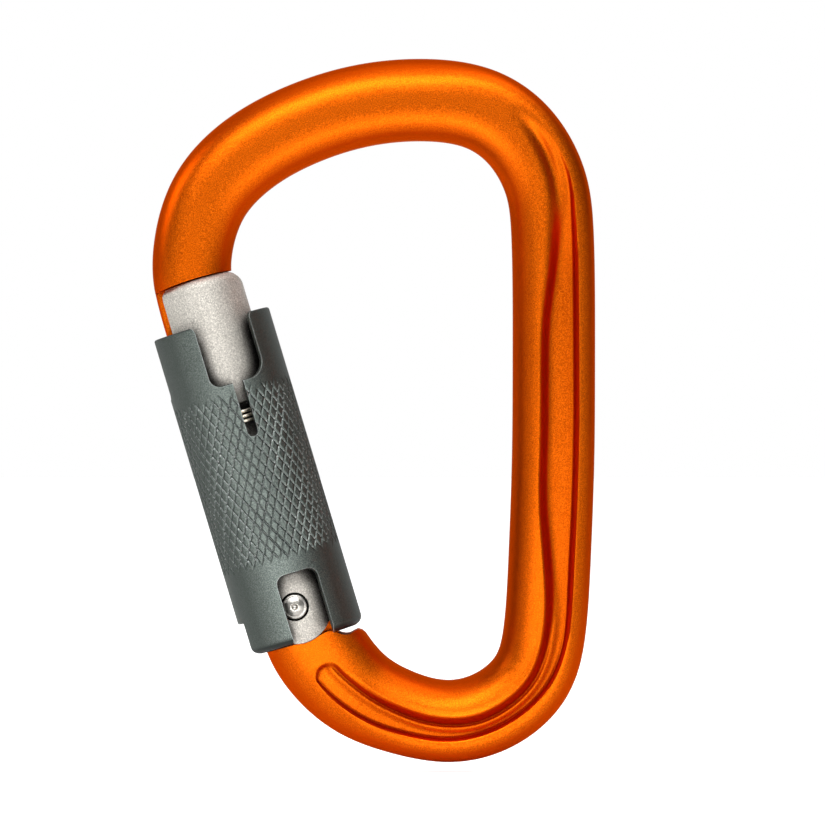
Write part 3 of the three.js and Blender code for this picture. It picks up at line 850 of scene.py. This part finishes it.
# ---------- Finishes ----------
class Finish:
    """A node material with short ways to add its usual nodes."""

    def __init__(self, name):
        self.material = bpy.data.materials.new(name)
        self.material.use_nodes = True
        self.nodes = self.material.node_tree.nodes
        self.links = self.material.node_tree.links
        self.shader = self.nodes["Principled BSDF"]
        self.place = self.nodes.new("ShaderNodeTexCoord").outputs["Object"]

    def set(self, **values):
        for key, value in values.items():
            self.shader.inputs[key.replace("_", " ")].default_value = value

    def link(self, source, target):
        self.links.new(source, target)

    def noise(self, size_mm, detail=4.0, roughness=0.6):
        """Noise whose features are about size_mm across."""
        node = self.nodes.new("ShaderNodeTexNoise")
        node.inputs["Scale"].default_value = 1 / (size_mm * MM)
        node.inputs["Detail"].default_value = detail
        node.inputs["Roughness"].default_value = roughness
        self.link(self.place, node.inputs["Vector"])
        return node.outputs["Fac"]

    def ramp(self, source, stops):
        node = self.nodes.new("ShaderNodeValToRGB")
        ramp = node.color_ramp
        ramp.elements[0].position, ramp.elements[0].color = stops[0][0], (*stops[0][1], 1)
        ramp.elements[1].position, ramp.elements[1].color = stops[-1][0], (*stops[-1][1], 1)
        for position, color in stops[1:-1]:
            ramp.elements.new(position).color = (*color, 1)
        self.link(source, node.inputs["Fac"])
        return node.outputs["Color"]

    def remap(self, source, low, high, start=0.3, end=0.7):
        node = self.nodes.new("ShaderNodeMapRange")
        node.inputs["From Min"].default_value = start
        node.inputs["From Max"].default_value = end
        node.inputs["To Min"].default_value = low
        node.inputs["To Max"].default_value = high
        self.link(source, node.inputs["Value"])
        return node.outputs["Result"]

    def mix(self, factor, first, second):
        node = self.nodes.new("ShaderNodeMix")
        node.data_type = "RGBA"
        for source, socket in ((factor, 0), (first, 6), (second, 7)):
            if hasattr(source, "links"):
                self.link(source, node.inputs[socket])
            else:
                node.inputs[socket].default_value = source if socket == 0 else (*source, 1)
        return node.outputs[2]

    def facing(self, blend=0.5):
        node = self.nodes.new("ShaderNodeLayerWeight")
        node.inputs["Blend"].default_value = blend
        return node.outputs["Facing"]

    def edge_highlight(self, radius_mm=0.35):
        """1 on outer edges, from the angle between the true and the rounded normal; a mask for painted
        highlight.
        """
        bevel = self.nodes.new("ShaderNodeBevel")
        bevel.samples = 4
        bevel.inputs["Radius"].default_value = radius_mm * MM
        geometry = self.nodes.new("ShaderNodeNewGeometry")
        dot = self.nodes.new("ShaderNodeVectorMath")
        dot.operation = "DOT_PRODUCT"
        self.link(bevel.outputs["Normal"], dot.inputs[0])
        self.link(geometry.outputs["Normal"], dot.inputs[1])
        return self.remap(dot.outputs["Value"], 1.0, 0.0, 0.75, 0.955)

    def recess_shade(self, reach_mm, strongest=1.0, deep=0.08, shallow=0.5, own=False):
        """1 deep in narrow recesses, a mask for painted shade there; own leaves the other pieces out."""
        node = self.nodes.new("ShaderNodeAmbientOcclusion")
        node.samples = 8
        node.inputs["Distance"].default_value = reach_mm * MM
        node.only_local = own
        return self.remap(node.outputs["AO"], strongest, 0.0, deep, shallow)

    def up_the_gate(self, low, high):
        """0 below one height on the gate's axis and 1 above the other, in mm."""
        place = self.place
        for operation, value, output in (("SUBTRACT", PIVOT, "Vector"), ("DOT_PRODUCT", UP, "Value")):
            node = self.nodes.new("ShaderNodeVectorMath")
            node.operation = operation
            self.link(place, node.inputs[0])
            node.inputs[1].default_value = value
            place = node.outputs[output]
        return self.remap(place, 0.0, 1.0, low * MM, high * MM)

    def under_skin(self, radius_mm, depth_mm):
        """1 where the surface lies depth_mm or more inside a cylinder about the gate's axis."""
        place = self.place
        for operation, value in (("SUBTRACT", PIVOT), ("CROSS_PRODUCT", UP), ("LENGTH", None)):
            node = self.nodes.new("ShaderNodeVectorMath")
            node.operation = operation
            self.link(place, node.inputs[0])
            if value is not None:
                node.inputs[1].default_value = value
            place = node.outputs["Value" if operation == "LENGTH" else "Vector"]
        return self.remap(place, 1.0, 0.0, (radius_mm - depth_mm) * MM, radius_mm * MM)

    def bump(self, height, strength, depth_mm, normal=None):
        node = self.nodes.new("ShaderNodeBump")
        node.inputs["Strength"].default_value = strength
        node.inputs["Distance"].default_value = depth_mm * MM
        self.link(height, node.inputs["Height"])
        if normal is not None:
            self.link(normal, node.inputs["Normal"])
        return node.outputs["Normal"]


def orange_finish():
    f = Finish("anodised_orange")
    f.set(Metallic=1.0)
    grain = f.noise(0.17, 3, 0.65)
    blotch = f.noise(2.6, 3, 0.5)
    color = f.ramp(grain, [
        (0.34, (0.5, 0.066, 0.001)), (0.5, (0.74, 0.116, 0.002)), (0.66, (0.98, 0.2, 0.006)),
    ])
    color = f.mix(f.remap(blotch, 0.0, 0.15), color, (0.8, 0.135, 0.004))
    # Painted shade: the colour turns darker and redder where the surface turns away from the camera.
    edge = f.remap(f.facing(0.5), 0.0, 0.8, 0.03, 0.3)
    color = f.mix(edge, color, (0.6, 0.055, 0.001))
    # Painted shade: darker in the bar's recesses and, near red-black, in the channel's walls.
    color = f.mix(f.recess_shade(6.0, 0.35, 0.45, 0.95, own=True), color, (0.45, 0.04, 0.0005))
    color = f.mix(f.recess_shade(1.3, 0.9, 0.4, 0.92, own=True), color, (0.16, 0.011, 0.0))
    f.set(Specular_Tint=(1.0, 0.5, 0.24, 1.0))
    f.link(color, f.shader.inputs["Base Color"])
    f.link(f.remap(grain, 0.33, 0.47), f.shader.inputs["Roughness"])
    fine = f.bump(f.noise(0.16, 2, 0.6), 0.7, 0.03)
    f.link(f.bump(f.noise(0.5, 2, 0.5), 0.4, 0.04, fine), f.shader.inputs["Normal"])
    return f.material


def silver_finish():
    f = Finish("blasted_silver")
    f.set(Metallic=1.0)
    grain = f.noise(0.2, 4, 0.7)
    color = f.ramp(grain, [
        (0.36, (0.42, 0.4, 0.36)), (0.5, (0.61, 0.58, 0.53)), (0.64, (0.86, 0.83, 0.77)),
    ])
    # Painted shade: near black deep in the gate's slit and recesses, left off the crown above 44 to 47 mm up
    # the axis.
    recess_shaded = f.mix(f.recess_shade(4.0, 1.0, 0.25, 0.65), color, (0.012, 0.011, 0.01))
    color = f.mix(f.up_the_gate(44, 47), recess_shaded, color)
    f.link(color, f.shader.inputs["Base Color"])
    f.link(f.remap(grain, 0.58, 0.72), f.shader.inputs["Roughness"])
    fine = f.bump(f.noise(0.18, 2, 0.6), 0.7, 0.04)
    f.link(f.bump(f.noise(0.45, 2, 0.5), 0.3, 0.04, fine), f.shader.inputs["Normal"])
    return f.material


def grey_finish():
    f = Finish("anodised_grey")
    f.set(Metallic=1.0)
    grain = f.noise(0.16, 4, 0.7)
    color = f.ramp(grain, [
        (0.36, (0.085, 0.102, 0.093)), (0.5, (0.16, 0.187, 0.171)), (0.64, (0.28, 0.32, 0.295)),
    ])
    # Painted shade: darker where the sleeve turns away from the camera.
    color = f.mix(f.remap(f.facing(), 0.0, 0.7, 0.04, 0.3), color, (0.065, 0.075, 0.068))
    # Painted shade: darker in the knurl's grooves, below the sleeve's outer skin.
    color = f.mix(f.under_skin(SLEEVE_OUTER, 0.16), color, (0.045, 0.053, 0.049))
    # Painted highlight: lighter along the sharp window rims and the knurl's edges.
    color = f.mix(f.edge_highlight(0.28), color, (0.6, 0.64, 0.62))
    f.link(color, f.shader.inputs["Base Color"])
    f.link(f.remap(grain, 0.42, 0.56), f.shader.inputs["Roughness"])
    fine = f.bump(f.noise(0.18, 2, 0.6), 0.6, 0.04)
    f.link(fine, f.shader.inputs["Normal"])
    return f.material


def rivet_finish():
    f = Finish("rivet_steel")
    f.set(Metallic=1.0)
    smear = f.noise(0.5, 4, 0.6)
    color = f.ramp(smear, [(0.3, (0.42, 0.4, 0.36)), (0.7, (0.62, 0.6, 0.56))])
    # Painted shade: near black deep in narrow recesses, such as the counterbore round the rivet head.
    f.link(f.mix(f.recess_shade(1.2), color, (0.03, 0.028, 0.025)), f.shader.inputs["Base Color"])
    f.link(f.remap(smear, 0.26, 0.38), f.shader.inputs["Roughness"])
    f.link(f.bump(f.noise(0.4, 3, 0.6), 0.2, 0.01), f.shader.inputs["Normal"])
    return f.material


def spring_finish():
    f = Finish("spring_steel")
    f.set(Metallic=1.0)
    streak = f.noise(0.3, 3, 0.6)
    color = f.ramp(streak, [(0.3, (0.5, 0.44, 0.34)), (0.7, (0.82, 0.76, 0.64))])
    f.link(color, f.shader.inputs["Base Color"])
    f.link(f.remap(streak, 0.2, 0.36), f.shader.inputs["Roughness"])
    f.link(f.bump(streak, 0.2, 0.01), f.shader.inputs["Normal"])
    return f.material


def polymer_finish():
    f = Finish("guide_polymer")
    f.set(Metallic=0.0)
    mottle = f.noise(0.4, 4, 0.6)
    color = f.ramp(mottle, [(0.3, (0.02, 0.021, 0.023)), (0.7, (0.05, 0.052, 0.055))])
    f.link(color, f.shader.inputs["Base Color"])
    f.link(f.remap(mottle, 0.4, 0.6), f.shader.inputs["Roughness"])
    f.link(f.bump(f.noise(0.15, 3, 0.6), 0.3, 0.02), f.shader.inputs["Normal"])
    return f.material


# ---------- Assembly ----------
def fit_piece(piece, node, body, material):
    """Puts a piece in its CAD node's place, on its body, with its finish."""
    piece.data.materials.clear()
    piece.data.materials.append(material)
    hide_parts(node)
    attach(piece, body)
    return piece


def build():
    spring = spring_finish()
    fit_piece(make_body(), "body", "frame", orange_finish())
    fit_piece(make_gate(), "gate", "gate_unit", silver_finish())
    fit_piece(make_sleeve(), "locking_sleeve", "sleeve_unit", grey_finish())
    rivet = rivet_finish()
    fit_piece(make_rivet(), "hinge_rivet", "gate_unit", rivet)
    fit_piece(make_plunger(), "plunger", "plunger_unit", rivet)
    fit_piece(make_collar(), "guide_collar", "collar_unit", polymer_finish())
    fit_piece(make_retaining_ring(), "retaining_ring", "gate_unit", spring)
    sleeve_spring = fit_piece(make_sleeve_spring(), "sleeve_spring", "gate_unit", spring)
    gate_spring = fit_piece(make_gate_spring(), "gate_spring", "gate_unit", spring)
    compress(sleeve_spring)
    compress(gate_spring)


def compress(coil):
    """Gives the coil a mesh of its own."""
    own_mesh(coil)


# ---------- Stage ----------
def make_stage():
    under_part, reach = 0.0015, 4.0
    ground = CAD_BOX[0][2] - under_part
    corners = [(x * reach, y * reach, ground) for x, y in ((-1, -1), (1, -1), (1, 1), (-1, 1))]
    floor = new_object("floor", corners, [(0, 1, 2, 3)])
    paper = Finish("pale_floor")
    paper.set(Roughness=0.85)
    tone = paper.ramp(paper.noise(40, 2, 0.5), [(0.3, (0.9, 0.9, 0.9)), (0.7, (0.93, 0.93, 0.93))])
    paper.link(tone, paper.shader.inputs["Base Color"])
    paper.link(tone, paper.shader.inputs["Emission Color"])
    seen = paper.nodes.new("ShaderNodeLightPath").outputs["Is Camera Ray"]
    paper.link(paper.remap(seen, 0.0, 0.9, 0.0, 1.0), paper.shader.inputs["Emission Strength"])
    floor.data.materials.append(paper.material)


def area_light(name, azimuth, elevation, distance, size, power):
    """A soft box seen from the part's middle: azimuth 0 is the viewer's side, positive to the right."""
    a, e = math.radians(azimuth), math.radians(elevation)
    place = Vector((math.sin(a) * math.cos(e), -math.cos(a) * math.cos(e), math.sin(e))) * distance
    data = bpy.data.lights.new(name, "AREA")
    data.shape = "RECTANGLE"
    data.size, data.size_y = size
    data.energy = power
    light = bpy.data.objects.new(name, data)
    light.location = place
    light.rotation_mode = "QUATERNION"
    light.rotation_quaternion = (-place).to_track_quat("-Z", "Y")
    light.visible_camera = False
    bpy.context.scene.collection.objects.link(light)


def make_world():
    """White to the camera; to the metal, a dim room in front, a bright wall behind and a soft ceiling."""
    world = bpy.data.worlds.new("studio")
    world.use_nodes = True
    nodes, links = world.node_tree.nodes, world.node_tree.links
    place = nodes.new("ShaderNodeTexCoord").outputs["Generated"]
    split = nodes.new("ShaderNodeSeparateXYZ")
    links.new(place, split.inputs["Vector"])
    depth = nodes.new("ShaderNodeMapRange")
    depth.interpolation_type = "SMOOTHSTEP"
    for key, value in (("From Min", -0.2), ("From Max", 0.8), ("To Min", 0.09), ("To Max", 0.6)):
        depth.inputs[key].default_value = value
    links.new(split.outputs["Y"], depth.inputs["Value"])
    height = nodes.new("ShaderNodeMapRange")
    height.interpolation_type = "SMOOTHSTEP"
    for key, value in (("From Min", 0.1), ("From Max", 0.9), ("To Min", 0.0), ("To Max", 0.14)):
        height.inputs[key].default_value = value
    links.new(split.outputs["Z"], height.inputs["Value"])
    total = nodes.new("ShaderNodeMath")
    total.operation = "ADD"
    links.new(depth.outputs["Result"], total.inputs[0])
    links.new(height.outputs["Result"], total.inputs[1])
    seen = nodes.new("ShaderNodeLightPath")
    strength = nodes.new("ShaderNodeMix")
    links.new(seen.outputs["Is Camera Ray"], strength.inputs["Factor"])
    links.new(total.outputs["Value"], strength.inputs["A"])
    strength.inputs["B"].default_value = 1.0
    background = nodes["Background"]
    background.inputs["Color"].default_value = (1.0, 1.0, 1.0, 1.0)
    links.new(strength.outputs["Result"], background.inputs["Strength"])
    bpy.context.scene.world = world


def light_stage():
    """Soft boxes: azimuth and elevation in degrees, distance and size in metres, power in watts."""
    make_world()
    area_light("key_above", -8, 36, 0.8, (0.52, 0.16), 3.75)
    area_light("low_front", -8, -19, 0.14, (0.13, 0.012), 0.05)
    area_light("top_right", 50, 60, 0.8, (0.4, 0.4), 0.8)
    area_light("left_side", -85, 28, 0.8, (0.3, 0.3), 1.5)
    area_light("floor_wash", 0, 80, 1.2, (1.2, 1.2), 4.0)
    bpy.context.scene.view_settings.view_transform = "Standard"


def make_camera():
    """Straight on from the front and from far off, as a catalogue picture is taken."""
    distance, frame_width = 0.9, 0.12375
    aim_x, aim_z = 0.00585, -0.0003
    data = bpy.data.cameras.new("camera")
    data.sensor_width = 36.0
    data.lens = data.sensor_width * distance / frame_width
    data.clip_start, data.clip_end = 0.01, 20.0
    camera = bpy.data.objects.new("camera", data)
    camera.location = (aim_x, -distance, aim_z)
    camera.rotation_euler = (math.pi / 2, 0.0, 0.0)
    bpy.context.scene.collection.objects.link(camera)
    bpy.context.scene.camera = camera


build()
make_stage()
light_stage()
make_camera()
